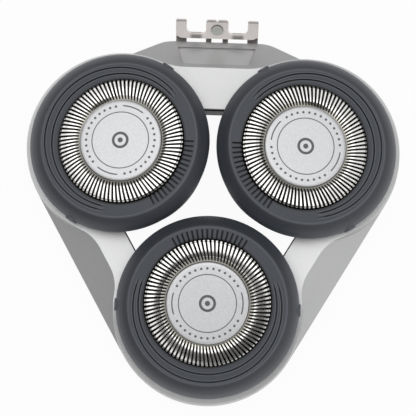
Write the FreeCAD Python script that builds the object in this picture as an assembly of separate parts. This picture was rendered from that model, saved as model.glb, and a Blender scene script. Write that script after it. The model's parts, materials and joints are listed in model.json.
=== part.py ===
import FreeCAD, Part
import math
import os

# A rotary shaver head: three slotted caps in tilting rings on a three-armed frame,
# with rotating cutters inside, hair cups below and a sheet-metal hinge at the rear.
# Millimetres. X to the right, Y to the rear, Z up, base plane of the hair cups at Z = 0.
# A head's own axes: x outward from the middle, y along the tilt axis, z along the head's
# normal, with the centre of the rim at the origin.

# Layout of the heads
head_directions = {"left": 150.0, "right": 30.0, "front": 270.0}
arm_directions = {"rear": 90.0, "left": 210.0, "right": 330.0}
head_lean_angle = 9.0       # degrees outward
rim_height = 12.0           # rim centres above the base plane
rim_gap = 0.88              # between neighbouring rims
cap_inset = 1.1             # cap axis inward of the rim centre

# Disc and cap
disc_radius = 7.11
disc_thickness = 0.93
disc_edge = 0.12            # chamfer of the disc
disc_gap = 0.24             # between disc and the well around it
well_depth = 0.78           # centre plate below the cap's track
track_width = 3.57          # from the well to the cap's outer wall
cap_sheet = 0.36            # steel sheet of the cap
cap_edge = 0.3              # chamfer of the cap's outer edge
cap_rise = 0.68             # track above the ring's top
cap_gap = 0.23              # between cap and ring
cap_flange = 0.68           # width of the flange that holds the cap in the ring
spigot_radius = 1.2
spigot_length = 2.1
slot_count = 90
slot_width = 0.28
slot_slant_angle = 10.0     # degrees from the radius
slot_margin = 0.15          # between the well's wall and the slots
slot_drop = 1.5             # how far the slots run down the outer wall

# Cutter and its carrier
blade_count = 15
blade_gap = 0.05            # under the track
blade_height = 2.82
blade_thickness = 0.5
blade_lean = 0.9            # sideways, over the blade's height
blade_margin = 0.3          # between blades and the cap's walls
blade_ring = 0.3            # thickness of the ring that carries the blades
blade_ring_margin = 0.1     # blade ring inward of the blades
carrier_thickness = 0.6
carrier_seat = 1.1          # how far the carrier reaches under the blade ring
hub_radius = 4.4
hub_drop = 3.3              # hub below the carrier's disc
hub_gap = 0.3               # above and below the turning parts
spigot_gap = 0.05
socket_width = 3.2
socket_depth = 3.2

# Retainer that holds the cap and the cutter in the ring
retainer_fit = 0.1          # radial clearance in the ring's neck
retainer_wall = 0.65
retainer_plate = 0.9
retainer_eye = 1.0          # width of the eye round the hub
retainer_spoke = 1.6
retainer_spoke_count = 3

# Ring round each cap
top_width = 2.83            # nearly flat top, cap to crease
bevel_width = 2.25          # crease to rim
ring_top = 3.75             # at the cap, above the rim plane
crease_drop = 0.2           # crease below the ring's top
crease_shift = 0.55         # crease circle inward of the rim centre
bevel_bulge = 0.3
bevel_steps = 4
rim_edge = 0.5              # upright edge of the rim
rim_chamfer = 0.3
ring_wall = 1.1
ring_roof = 0.8
ring_lip = 0.95             # lip that the cap's flange bears against
neck_wall = 0.8
neck_drop = 3.2             # neck below the rim plane
groove_radii = (1.06, 1.94)  # groove circles, out from the cap's radius
groove_shifts = (0.4, 0.9)  # their centres, outward of the cap axis
groove_width = 0.28
groove_depth = 0.35
groove_reach_angle = 107.0  # degrees to either side of outward
rib_slot_count = 16
rib_pitch_angle = 4.05      # degrees
rib_slot_width = 0.3
rib_slot_length = 1.6

# Pivot pins of the rings
pin_radius = 0.65
pin_fit = 0.02
lug_fit = 0.08
pin_boss = 0.45             # wall of the boss round the pin
boss_show = 0.2             # boss outward of the rim
pin_inset = 0.1             # pin's end inward of the rim
lug_wall = 0.6
lug_gap = 0.45              # between the cup's lug and the ring's boss

# Hair cups
cup_gap = 0.5               # between neck and cup
cup_wall = 0.8
cup_floor = 1.0
cup_straight = 3.0          # straight wall below the frame's top
cup_slope_angle = 24.0      # degrees, wall of the bowl
cup_flange = 1.4
cup_flange_thickness = 1.0
cup_flange_start = 1.0      # outward of the tilt axis
spindle_radius = 5.0

# Silver frame
frame_margin = 1.0          # frame beyond the rims
frame_draft = 0.4
frame_drop = 2.0            # frame's top below the rim plane
frame_depth = 6.0
frame_lip = 1.2             # upright lip at the frame's foot
frame_wall = 1.2
frame_hole_gap = 0.4        # round the cups
arm_width = 10.4
arm_bevel = 5.3             # width of the side arms' bevel
crease_fillet = 7.5         # between the side arms' creases and the round shoulders
rear_step = 2.9             # rear edge beyond the side arms' edge
rear_opening_step = 0.4     # opening's rear side beyond its other sides
rear_bevel = 5.55
rear_crease_fillet = 12.0
rear_half_width = 9.2
rear_slant_angle = 28.0     # degrees
rear_slant_length = 6.6
rear_corner = 6.0           # radius between the rear edge and its slants
panel_half_width = 6.95
panel_taper = 0.95
panel_margin = 1.2          # behind the panel
panel_length = 3.6
panel_depth = 0.25

# Under-frame
under_fit = 0.1
under_web = 1.2
under_rise = 0.2            # above the silver frame's foot
under_show = 0.25           # inner edge seen beside the silver frame
cup_fit = 0.2
flange_fit = 0.1
rib_thickness = 1.0
rib_offset = 5.0

# Screws that join the two frames
screw_inset = 3.9           # from the arm's inner edge
screw_radius = 0.6
screw_head = 2.2
screw_head_thickness = 0.8
screw_rise = 1.6            # head's seat above the silver frame's foot
screw_grip = 2.6
screw_tip_gap = 0.3
screw_recess = 0.9
boss_radius = 1.5
boss_fit = 0.1
boss_wall = 1.1

# Rear hinge
hinge_pin_radius = 0.75
hinge_fit = 0.05
lug_bore_fit = 0.02
hinge_sheet = 0.5
hinge_setback = 1.6         # pin forward of the frame's rear edge
hinge_clearance = 0.3       # knuckles below the frame's foot
plate_tilt_angle = 47.0     # degrees, plate with its ears and tab, rear end up
strip_gap = 0.59            # between the frame's rear edge and the plate's lower edge
strip_rise = 1.6            # plate's lower edge above the frame's foot
strip_width = 1.05          # plate between its ears and tab
strip_corner = 1.2
bend_radius = 0.3
ear_inner = 5.5
ear_outer = 7.4
ear_reach = 3.85            # from the plate's lower edge
ear_corner = 0.2
ear_fillet = 1.0
tab_half_width = 2.0
tab_reach = 3.88
tab_corner = 0.45
tab_fillet = 0.55
notch_half_width = 0.25
notch_depth = 0.2
leg_inset = 0.6             # legs behind the plate's lower edge
leg_grip = 1.5              # legs' upper ends along the plate
inner_knuckle_start = 1.0
inner_knuckle_end = 2.0
knuckle_gap = 0.25
end_lug = 0.95
lug_root = 0.4              # lugs' roots in the under-frame
rivet_radius = 1.06
rivet_head = 0.3
rivet_edge = 0.08           # chamfer of the head
rivet_shank = 0.6
rivet_tail = 0.9
rivet_offset = 2.04         # from the plate's lower edge
backing_margin = 0.3        # lower sheet behind the rivet's tail

# Radii about a cap's axis
well_radius = disc_radius + disc_gap
cap_radius = well_radius + track_width
cap_bore = cap_radius + cap_gap
flange_radius = cap_radius + cap_flange
neck_inner = flange_radius + retainer_fit
neck_outer = neck_inner + neck_wall
cup_inner = neck_outer + cup_gap
cup_outer = cup_inner + cup_wall
blade_inner = well_radius + cap_sheet + blade_margin
blade_outer = cap_radius - cap_sheet - blade_margin

# Levels along a head's normal
cap_top = ring_top + cap_rise
flange_top = ring_top - ring_lip
plate_top = cap_top - well_depth
blade_top = cap_top - cap_sheet - blade_gap
blade_foot = blade_top - blade_height
carrier_top = blade_foot - blade_ring
carrier_bottom = carrier_top - carrier_thickness
retainer_top = carrier_bottom - hub_gap
hub_bottom = carrier_bottom - hub_drop
hub_top = plate_top - cap_sheet - hub_gap
crease_level = ring_top - crease_drop
flange_level = -(frame_drop + frame_wall)

# Plan of the part
crease_radius = cap_radius + top_width
rim_radius = crease_radius + bevel_width
head_radius = (2 * rim_radius + rim_gap) / math.sqrt(3)
base_radius = rim_radius + frame_margin
side_reach = head_radius / 2 + base_radius
opening_reach = side_reach - arm_width
rear_reach = side_reach + rear_step
lean = math.radians(head_lean_angle)
frame_top = rim_height - frame_drop / math.cos(lean)
frame_bottom = frame_top - frame_depth
lip_top = frame_bottom + frame_lip
creases = {
    "rear": rear_reach - rear_bevel,
    "left": side_reach - arm_bevel,
    "right": side_reach - arm_bevel,
}
reaches = {"rear": rear_reach, "left": side_reach, "right": side_reach}
crease_fillets = {"rear": rear_crease_fillet, "left": crease_fillet, "right": crease_fillet}
axis_radius = head_radius - cap_inset * math.cos(lean)
axis_height = rim_height + cap_inset * math.sin(lean)
spindle_circle = axis_radius - axis_height * math.tan(lean)
screw_reach = opening_reach + screw_inset
screw_seat = frame_bottom + screw_rise

# Hinge
knuckle_radius = hinge_pin_radius + hinge_fit + hinge_sheet
pin_y = rear_reach - hinge_setback
pin_z = frame_bottom - hinge_clearance - knuckle_radius
plate_y = rear_reach + strip_gap
plate_foot = frame_bottom + strip_rise
leg_y = plate_y + leg_inset

far = 60.0                  # beyond every piece, for cutting bodies
ORIGIN = FreeCAD.Vector(0, 0, 0)
X_AXIS = FreeCAD.Vector(1, 0, 0)
Y_AXIS = FreeCAD.Vector(0, 1, 0)
Z_AXIS = FreeCAD.Vector(0, 0, 1)


def drum(radius, low, high, x=0.0, y=0.0):
    return Part.makeCylinder(radius, high - low, FreeCAD.Vector(x, y, low), Z_AXIS)


def pipe(outer, inner, low, high):
    return drum(outer, low, high).cut(drum(inner, low - 1, high + 1))


def block(x0, x1, y0, y1, z0, z1):
    return Part.makeBox(x1 - x0, y1 - y0, z1 - z0, FreeCAD.Vector(x0, y0, z0))


def prism(points, low, high):
    corners = [FreeCAD.Vector(x, y, low) for x, y in points]
    outline = Part.makePolygon(corners + corners[:1])
    return Part.Face(outline).extrude(FreeCAD.Vector(0, 0, high - low))


def rounded_prism(corners, low, high):
    """Extrude an outline of (x, y, radius) corners and round its upright edges."""
    body = prism([(x, y) for x, y, radius in corners], low, high)
    for x, y, radius in corners:
        if radius > 0:
            body = body.makeFillet(radius, upright_edges(body, x, y))
    return body


def upright_edges(body, x, y):
    def beside(edge):
        return all(math.hypot(end.X - x, end.Y - y) < 0.001 for end in edge.Vertexes)

    return [edge for edge in body.Edges if beside(edge)]


def across(points, x0, x1):
    """Extrude an outline of (y, z) points along X."""
    corners = [FreeCAD.Vector(x0, y, z) for y, z in points]
    outline = Part.makePolygon(corners + corners[:1])
    return Part.Face(outline).extrude(FreeCAD.Vector(x1 - x0, 0, 0))


def turned(points):
    """Revolve an outline of (radius, z) points about the Z axis."""
    corners = [FreeCAD.Vector(radius, 0, z) for radius, z in points]
    outline = Part.makePolygon(corners + corners[:1])
    return Part.Face(outline).revolve(ORIGIN, Z_AXIS, 360)


def joined(pieces):
    return pieces[0].multiFuse(pieces[1:]).removeSplitter()


def moved(shape, x=0.0, y=0.0, z=0.0):
    copy = shape.copy()
    copy.translate(FreeCAD.Vector(x, y, z))
    return copy


def spun(shape, angle):
    copy = shape.copy()
    copy.rotate(ORIGIN, Z_AXIS, angle)
    return copy


def on_cap_axis(shape):
    return moved(shape, x=-cap_inset)


def leaned(shape):
    """Carry a shape from a head's own axes to the head that points along +X."""
    copy = shape.copy()
    copy.rotate(ORIGIN, Y_AXIS, head_lean_angle)
    copy.translate(FreeCAD.Vector(head_radius, 0, rim_height))
    return copy


def along(direction, reach):
    angle = math.radians(direction)
    return FreeCAD.Vector(reach * math.cos(angle), reach * math.sin(angle), 0)


# Disc, cap and cutter

def disc():
    top = plate_top + disc_thickness
    return on_cap_axis(turned([
        (0, plate_top),
        (disc_radius, plate_top),
        (disc_radius, top - disc_edge),
        (disc_radius - disc_edge, top),
        (0, top),
    ]))


def cap_slots():
    inner = well_radius + cap_sheet + slot_margin
    length = cap_radius + cap_gap - inner
    slot = block(0, length, -slot_width / 2, slot_width / 2, cap_top - slot_drop, cap_top + 1)
    slot = moved(spun(slot, slot_slant_angle), x=inner)
    return [spun(slot, 360.0 * k / slot_count) for k in range(slot_count)]


def cap():
    under = cap_top - cap_sheet
    plate_under = plate_top - cap_sheet
    shell = turned([
        (0, plate_top),
        (well_radius, plate_top),
        (well_radius, cap_top - cap_edge / 2),
        (well_radius + cap_edge / 2, cap_top),
        (cap_radius - cap_edge, cap_top),
        (cap_radius, cap_top - cap_edge),
        (cap_radius, flange_top),
        (flange_radius, flange_top),
        (flange_radius, flange_top - cap_sheet),
        (cap_radius - cap_sheet, flange_top - cap_sheet),
        (cap_radius - cap_sheet, under),
        (well_radius + cap_sheet, under),
        (well_radius + cap_sheet, plate_under),
        (spigot_radius, plate_under),
        (spigot_radius, plate_under - spigot_length),
        (0, plate_under - spigot_length),
    ])
    return on_cap_axis(shell.cut(cap_slots()))


def blade():
    half = blade_thickness / 2
    side = across([
        (-half, blade_foot - blade_ring / 2),
        (half, blade_foot - blade_ring / 2),
        (half + blade_lean, blade_top),
        (blade_lean - half, blade_top),
    ], blade_inner, blade_outer - blade_lean / 8)
    return side


def cutter_blades():
    carrier_ring = pipe(blade_outer, blade_inner - blade_ring_margin, carrier_top, blade_foot)
    blades = [spun(blade(), 360.0 * k / blade_count) for k in range(blade_count)]
    return on_cap_axis(joined([carrier_ring] + blades))


def cutter_carrier():
    plate = drum(blade_inner + carrier_seat, carrier_bottom, carrier_top)
    hub = drum(hub_radius, hub_bottom, hub_top)
    body = joined([plate, hub])
    spigot_end = plate_top - cap_sheet - spigot_length
    bore = drum(spigot_radius + spigot_gap, spigot_end - hub_gap, far)
    half = socket_width / 2
    socket = block(-half, half, -half, half, -far, hub_bottom + socket_depth)
    return on_cap_axis(body.cut([bore, socket]))


def retainer():
    outer = flange_radius
    wall = pipe(outer, outer - retainer_wall, retainer_top - retainer_plate, flange_top - cap_sheet)
    eye_inner = hub_radius + hub_gap
    eye = pipe(eye_inner + retainer_eye, eye_inner, retainer_top - retainer_plate, retainer_top)
    half = retainer_spoke / 2
    spoke = block(eye_inner + retainer_eye / 2, outer - retainer_wall / 2, -half, half,
                  retainer_top - retainer_plate, retainer_top)
    spokes = [spun(spoke, 360.0 * k / retainer_spoke_count) for k in range(retainer_spoke_count)]
    return on_cap_axis(joined([wall, eye] + spokes))


# Ring and its pivot pins

def dome(inset, lower, foot):
    """The ring's outer form: circles that drift inward as they rise to the crease."""
    rise = crease_level - rim_edge
    length = math.hypot(bevel_width, rise)
    sections = []
    for radius, level in ((rim_radius - rim_chamfer, foot), (rim_radius, 0.0)):
        sections.append((radius, 0.0, level))
    for k in range(bevel_steps + 1):
        share = k / bevel_steps
        bulge = bevel_bulge * 4 * share * (1 - share)
        radius = rim_radius - bevel_width * share + bulge * rise / length
        level = rim_edge + rise * share + bulge * bevel_width / length
        sections.append((radius, -crease_shift * share, level))
    sections.append((cap_radius, -cap_inset, ring_top))
    circles = []
    for radius, shift, level in sections:
        centre = FreeCAD.Vector(shift, 0, level - lower)
        circles.append(Part.Wire([Part.makeCircle(radius - inset, centre)]))
    return Part.makeLoft(circles, True, True)


def groove(radius, shift):
    outer = Part.makeCylinder(radius + groove_width / 2, far, ORIGIN, Z_AXIS, 2 * groove_reach_angle)
    sector = spun(outer, -groove_reach_angle).cut(drum(radius - groove_width / 2, -1, far + 1))
    return moved(sector, x=shift - cap_inset, z=crease_level - groove_depth)


def rib_slot_row():
    half = rib_slot_width / 2
    slot = block(cap_bore - cap_gap, cap_bore + rib_slot_length, -half, half,
                 crease_level - groove_depth, far)
    first = 180.0 - rib_pitch_angle * (rib_slot_count - 1) / 2
    return [on_cap_axis(spun(slot, first + rib_pitch_angle * k)) for k in range(rib_slot_count)]


def pin_bore(radius, start, end):
    """Round bars along the tilt axis, one on either side of the head."""
    right = Part.makeCylinder(radius, end - start, FreeCAD.Vector(0, start, 0), Y_AXIS)
    left = Part.makeCylinder(radius, end - start, FreeCAD.Vector(0, -end, 0), Y_AXIS)
    return [right, left]


def lug_start():
    return math.sqrt(cup_inner ** 2 - cap_inset ** 2)


def ring():
    shell = dome(0, 0, -rim_chamfer)
    hollow = dome(ring_wall, ring_roof, -neck_drop).cut(on_cap_axis(drum(neck_outer, -far, far)))
    shell = shell.cut(hollow)
    neck = on_cap_axis(pipe(neck_outer, neck_inner, -neck_drop, flange_top))
    boss_start = lug_start() + cup_wall + lug_gap
    bosses = pin_bore(pin_radius + pin_boss, boss_start, rim_radius + boss_show)
    body = joined([shell, neck] + bosses)
    cuts = [
        on_cap_axis(drum(neck_inner, -far, flange_top)),
        on_cap_axis(drum(cap_bore, -far, far)),
    ]
    cuts += pin_bore(pin_radius + pin_fit, neck_inner - neck_wall, rim_radius + 1)
    cuts += [groove(cap_radius + r, s) for r, s in zip(groove_radii, groove_shifts)]
    cuts += rib_slot_row()
    return body.cut(cuts)


def pivot_pins():
    start = math.sqrt(neck_inner ** 2 - cap_inset ** 2) + neck_wall / 4
    return Part.makeCompound(pin_bore(pin_radius, start, rim_radius - pin_inset))


# Hair cup

def cup_body(wall, floor):
    """Straight wall and sloping bowl, cut off level at the given height."""
    outer = cup_outer - wall
    bend = -(frame_drop + cup_straight)
    bottom = -(rim_height + cup_outer * math.sin(lean) + 1)
    toe = outer - (bend - bottom) * math.tan(math.radians(cup_slope_angle))
    top = -frame_drop + (1 if wall else 0)
    body = turned([(0, top), (outer, top), (outer, bend), (toe, bottom), (0, bottom)])
    body = leaned(on_cap_axis(body))
    return body.cut(block(-far, far, -far, far, -far, floor))


def hair_cup():
    body = cup_body(0, 0)
    flange = pipe(cup_outer + cup_flange, cup_outer - cup_wall / 2,
                  flange_level - cup_flange_thickness, flange_level)
    flange = on_cap_axis(flange).common(block(cup_flange_start, far, -far, far, -far, far))
    start = lug_start()
    lug_radius = pin_radius + lug_fit + lug_wall
    lugs = pin_bore(lug_radius, start, start + cup_wall)
    stem = -frame_drop - cup_wall
    lugs.append(block(-lug_radius, lug_radius, start, start + cup_wall, stem, 0))
    lugs.append(block(-lug_radius, lug_radius, -start - cup_wall, -start, stem, 0))
    body = body.cut(cup_body(cup_wall, cup_floor))
    body = joined([body, leaned(flange)] + [leaned(lug) for lug in lugs])
    holes = [leaned(bar) for bar in pin_bore(pin_radius + lug_fit, start - 1, start + cup_wall + 1)]
    holes.append(drum(spindle_radius, -1, cup_floor + 1, x=spindle_circle))
    return body.cut(holes)


# Silver frame

def bevel_cut(arm, inset):
    """Body above an arm's bevel, lowered by the given wall."""
    crease = creases[arm]
    reach = reaches[arm]
    slope = (frame_top - lip_top) / (reach - crease)
    drop = inset * math.hypot(1, slope)

    def level(distance):
        return frame_top - (distance - crease) * slope - drop

    near = crease - 5
    out = reach + 5
    corners = [
        FreeCAD.Vector(near, -far, level(near)),
        FreeCAD.Vector(out, -far, level(out)),
        FreeCAD.Vector(out, -far, frame_top + far),
        FreeCAD.Vector(near, -far, frame_top + far),
    ]
    outline = Part.makePolygon(corners + corners[:1])
    wedge = Part.Face(outline).extrude(FreeCAD.Vector(0, 2 * far, 0))
    return spun(wedge, arm_directions[arm])


def arm_outline(inset):
    """Plan of the arms: tangent lines between the heads and the stepped rear edge.

    Each corner is (x, y, radius).
    """
    centres = {name: along(d, head_radius) for name, d in head_directions.items()}
    radius = base_radius - inset
    slant = math.radians(rear_slant_angle)
    corner_x = rear_half_width - inset * math.tan(slant / 2)
    corner_y = rear_reach - inset
    end_x = corner_x + rear_slant_length * math.cos(slant)
    end_y = corner_y - rear_slant_length * math.sin(slant)
    right_side = along(arm_directions["right"], radius)
    left_side = along(arm_directions["left"], radius)
    route = [
        FreeCAD.Vector(end_x, end_y, 0),
        centres["right"],
        centres["right"] + right_side,
        centres["front"] + right_side,
        centres["front"],
        centres["front"] + left_side,
        centres["left"] + left_side,
        centres["left"],
        FreeCAD.Vector(-end_x, end_y, 0),
    ]
    corners = [(point.x, point.y, 0) for point in route]
    corners.append((-corner_x, corner_y, rear_corner - inset))
    corners.append((corner_x, corner_y, rear_corner - inset))
    return corners


def crease_corner(arm, side):
    """Filling of the hollow corner where an arm's crease meets a round shoulder."""
    shoulder = base_radius - frame_draft
    fillet = crease_fillets[arm]
    rise = creases[arm] - head_radius / 2
    middle = head_radius * math.sqrt(3) / 2
    span = shoulder + fillet
    offset = math.sqrt(span ** 2 - (rise + fillet) ** 2)
    share = shoulder / span
    centre = (creases[arm] + fillet, side * (middle - offset))
    on_line = (creases[arm], side * (middle - offset))
    on_circle = (
        head_radius / 2 + (rise + fillet) * share,
        side * (middle - offset * share),
    )
    crossing = (creases[arm] - 0.5, side * (middle - math.sqrt(shoulder ** 2 - rise ** 2) + 0.5))
    back = (creases[arm] - 0.5, on_line[1])
    filling = prism([on_line, on_circle, crossing, back], lip_top, frame_top)
    filling = filling.cut(drum(fillet, frame_bottom, far, x=centre[0], y=centre[1]))
    return spun(filling, arm_directions[arm])


def shoulder_cut(level):
    """Body above a plane square to a head's axis, on the head's outer half."""
    return leaned(block(0, far, -far, far, level, far))


def frame_form(inset, bottom):
    """The frame's outer form, or that form drawn in by a wall."""
    top = frame_top - inset
    arms = rounded_prism(arm_outline(inset), bottom, top)
    arms = arms.cut([bevel_cut(arm, inset) for arm in arm_directions])
    pieces = [arms]
    for direction in head_directions.values():
        foot = drum(base_radius - inset, bottom, lip_top, x=head_radius)
        shoulder = Part.makeCone(base_radius - inset, base_radius - frame_draft - inset,
                                 top - lip_top, FreeCAD.Vector(head_radius, 0, lip_top), Z_AXIS)
        pieces += [spun(foot, direction), spun(shoulder, direction)]
    if inset == 0:
        pieces += [crease_corner(arm, side) for arm in arm_directions for side in (-1, 1)]
    body = joined(pieces)
    level = -(frame_drop + inset)
    return body.cut([spun(shoulder_cut(level), d) for d in head_directions.values()])


def triangle(offset):
    """Three-sided opening between the arms, its corners cut short inside the heads."""
    side = opening_reach + offset
    rear = side + rear_opening_step
    half = (side + rear / 2) / math.cos(math.radians(30))
    wedge = prism([(half, rear), (-half, rear), (0, -2 * side)], -far, far)
    return wedge.common(drum(head_radius, -far, far))


def cup_bodies(radius, low=-far, high=far):
    body = leaned(on_cap_axis(drum(radius, low, high)))
    return [spun(body, direction) for direction in head_directions.values()]


def screw_drums(radius, low, high):
    body = drum(radius, low, high, x=screw_reach)
    return [spun(body, direction) for direction in arm_directions.values()]


def rear_panel():
    rear = rear_reach - panel_margin
    front = rear - panel_length
    half = panel_half_width - panel_taper
    plan = [
        (panel_half_width, rear),
        (half, front),
        (-half, front),
        (-panel_half_width, rear),
    ]
    return prism(plan, frame_bottom, frame_top + 1).common(bevel_cut("rear", panel_depth))


def frame_plate():
    shell = frame_form(0, frame_bottom).cut(frame_form(frame_wall, frame_bottom - 1))
    shell = shell.cut([triangle(0), rear_panel()] + cup_bodies(cup_outer + frame_hole_gap))
    roof = frame_top - frame_wall
    bosses = screw_drums(boss_radius, screw_seat + boss_fit, roof + frame_wall / 4)
    shell = joined([shell] + bosses)
    return shell.cut(screw_drums(screw_radius, frame_bottom, screw_seat + screw_grip + screw_tip_gap))


def frame_screws():
    heads = screw_drums(screw_head, screw_seat - screw_head_thickness, screw_seat)
    shanks = screw_drums(screw_radius, screw_seat - screw_head_thickness / 2, screw_seat + screw_grip)
    drives = screw_drums(screw_recess, -far, screw_seat - screw_head_thickness * 0.6)
    screws = [h.fuse(s).cut(d) for h, s, d in zip(heads, shanks, drives)]
    return Part.makeCompound(screws)


# Under-frame

def under_pockets(bottom):
    inset = frame_wall + under_fit + under_web
    room = frame_form(inset, bottom - 1)
    solid = [triangle(under_web - under_show)]
    solid += cup_bodies(cup_outer + cup_flange + flange_fit + under_web)
    solid += screw_drums(boss_radius + boss_fit + boss_wall, screw_seat, far)
    half = rib_thickness / 2
    for direction in arm_directions.values():
        for side in (-1, 1):
            middle = side * rib_offset
            solid.append(spun(block(0, far, middle - half, middle + half, -far, far), direction))
    return room.cut(solid)


def hinge_lug(x0, x1):
    back = pin_y - knuckle_radius
    barrel = Part.makeCylinder(knuckle_radius, x1 - x0, FreeCAD.Vector(x0, pin_y, pin_z), X_AXIS)
    root = rear_reach - frame_wall - under_fit
    stem = block(x0, x1, back, root, pin_z, frame_bottom + under_rise + lug_root)
    return barrel.fuse(stem)


def hinge_lugs():
    inner = inner_knuckle_start - knuckle_gap
    spans = [(-inner, inner)]
    start = inner_knuckle_end + knuckle_gap
    end = ear_inner - knuckle_gap
    outside = ear_outer + knuckle_gap
    for x0, x1 in ((start, end), (outside, outside + end_lug)):
        spans += [(x0, x1), (-x1, -x0)]
    return [hinge_lug(x0, x1) for x0, x1 in spans]


def under_frame():
    bottom = frame_bottom + under_rise
    body = frame_form(frame_wall + under_fit, bottom)
    flange_room = leaned(on_cap_axis(drum(cup_outer + cup_flange + flange_fit,
                                          flange_level - cup_flange_thickness, far)))
    room_start = cup_flange_start - flange_fit
    flange_room = flange_room.common(leaned(block(room_start, far, -far, far, -far, far)))
    cuts = [triangle(-under_show), under_pockets(bottom)]
    cuts += cup_bodies(cup_outer + cup_fit)
    cuts += [spun(flange_room, direction) for direction in head_directions.values()]
    body = joined([body.cut(cuts)] + hinge_lugs())
    holes = screw_drums(boss_radius + boss_fit, frame_bottom, far)
    holes += screw_drums(screw_head + boss_fit, frame_bottom, screw_seat)
    holes.append(hinge_bar(hinge_pin_radius + lug_bore_fit, ear_outer + knuckle_gap + end_lug + 1))
    return body.cut(holes)


# Hinge

def hinge_bar(radius, half_length):
    start = FreeCAD.Vector(-half_length, pin_y, pin_z)
    return Part.makeCylinder(radius, 2 * half_length, start, X_AXIS)


def tilted(shape):
    """Carry a shape from the plate's own axes: x along its lower edge, y up the plate."""
    copy = shape.copy()
    copy.rotate(ORIGIN, X_AXIS, plate_tilt_angle)
    copy.translate(FreeCAD.Vector(0, plate_y, plate_foot))
    return copy


def hinge_leg(x0, x1):
    """Knuckle round the pin, level leg, quarter bend and riser up to the tilted lower sheet."""
    barrel = Part.makeCylinder(knuckle_radius, x1 - x0, FreeCAD.Vector(x0, pin_y, pin_z), X_AXIS)
    top = pin_z + knuckle_radius
    bend_y = leg_y - bend_radius
    bend_z = top + bend_radius
    leg = block(x0, x1, pin_y, bend_y, top - hinge_sheet, top)
    bend_start = FreeCAD.Vector(x0, bend_y, bend_z)
    bend = Part.makeCylinder(bend_radius + hinge_sheet, x1 - x0, bend_start, X_AXIS)
    bend = bend.cut(Part.makeCylinder(bend_radius, x1 - x0, bend_start, X_AXIS))
    bend = bend.common(block(x0, x1, bend_y, far, -far, bend_z))
    tilt = math.radians(plate_tilt_angle)

    def middle_of_sheet(y):
        return plate_foot + (y - plate_y) * math.tan(tilt) - 1.5 * hinge_sheet / math.cos(tilt)

    rear = leg_y + hinge_sheet
    riser = across([
        (leg_y, bend_z),
        (rear, bend_z),
        (rear, middle_of_sheet(rear)),
        (leg_y, middle_of_sheet(leg_y)),
    ], x0, x1)
    grip = tilted(block(x0, x1, 0, leg_grip, -2 * hinge_sheet, -hinge_sheet))
    return [barrel, leg, bend, riser, grip]


def upper_plate():
    """Flat plate with two ears and the tab between them."""
    half = [
        (ear_outer, 0, strip_corner),
        (ear_outer, ear_reach, ear_corner),
        (ear_inner, ear_reach, ear_corner),
        (ear_inner, strip_width, ear_fillet),
        (tab_half_width, strip_width, tab_fillet),
        (tab_half_width, tab_reach, tab_corner),
    ]
    mirrored = [(-x, y, radius) for x, y, radius in reversed(half)]
    return rounded_prism(half + mirrored, -hinge_sheet, 0)


def hinge_bracket():
    backing_end = rivet_offset + rivet_tail + backing_margin
    pieces = [
        tilted(upper_plate()),
        tilted(block(-inner_knuckle_end, inner_knuckle_end, 0, backing_end,
                     -2 * hinge_sheet, -hinge_sheet)),
    ]
    for x0, x1 in ((inner_knuckle_start, inner_knuckle_end), (ear_inner, ear_outer)):
        pieces += hinge_leg(x0, x1) + hinge_leg(-x1, -x0)
    notch = block(-notch_half_width, notch_half_width, tab_reach - notch_depth, tab_reach + 1,
                  -hinge_sheet, hinge_sheet)
    cuts = [
        hinge_bar(hinge_pin_radius + hinge_fit, far),
        tilted(notch),
        tilted(drum(rivet_shank + hinge_fit, -3 * hinge_sheet, hinge_sheet, y=rivet_offset)),
    ]
    return joined(pieces).cut(cuts)


def hinge_rivet():
    low = -2 * hinge_sheet
    rivet = turned([
        (0, low - rivet_head),
        (rivet_tail, low - rivet_head),
        (rivet_tail, low),
        (rivet_shank, low),
        (rivet_shank, 0),
        (rivet_radius, 0),
        (rivet_radius, rivet_head - rivet_edge),
        (rivet_radius - rivet_edge, rivet_head),
        (0, rivet_head),
    ])
    return tilted(moved(rivet, y=rivet_offset))


def hinge_pin():
    return hinge_bar(hinge_pin_radius, ear_outer + knuckle_gap + end_lug)


def export(shape, node):
    shape.exportStep("parts/" + node + ".step")


def main():
    os.makedirs("parts", exist_ok=True)
    head_pieces = {
        "ring": leaned(ring()),
        "cap": leaned(cap()),
        "disc": leaned(disc()),
        "cutter_blades": leaned(cutter_blades()),
        "cutter_carrier": leaned(cutter_carrier()),
        "retainer": leaned(retainer()),
        "pivot_pins": leaned(pivot_pins()),
        "hair_cup": hair_cup(),
    }
    for side, direction in head_directions.items():
        for name, shape in head_pieces.items():
            export(spun(shape, direction), side + "_" + name)
    export(frame_plate(), "frame_plate")
    export(under_frame(), "under_frame")
    export(frame_screws(), "frame_screws")
    export(hinge_pin(), "hinge_pin")
    export(hinge_bracket(), "hinge_bracket")
    export(hinge_rivet(), "hinge_rivet")
    print("head radius", head_radius, "spindle circle radius", spindle_circle)
    print("frame top", frame_top, "hinge pin", pin_y, pin_z)


main()
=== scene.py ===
# %% [markdown]
# A rotary shaver head is three small razors in one frame. Each one is a slotted steel cap
# that stands still over a turning ring of blades, and each sits in a dark ring that can tilt,
# so that all three lie flat on the skin. The solids of this part come ready made, in metres.
# This lesson gives them their finish: it rounds the edges, cuts fine detail and mixes paints.

# %% Load the solids and note where the three heads are
import json
import math
import bmesh
import bpy
from mathutils import Matrix, Vector


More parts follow.
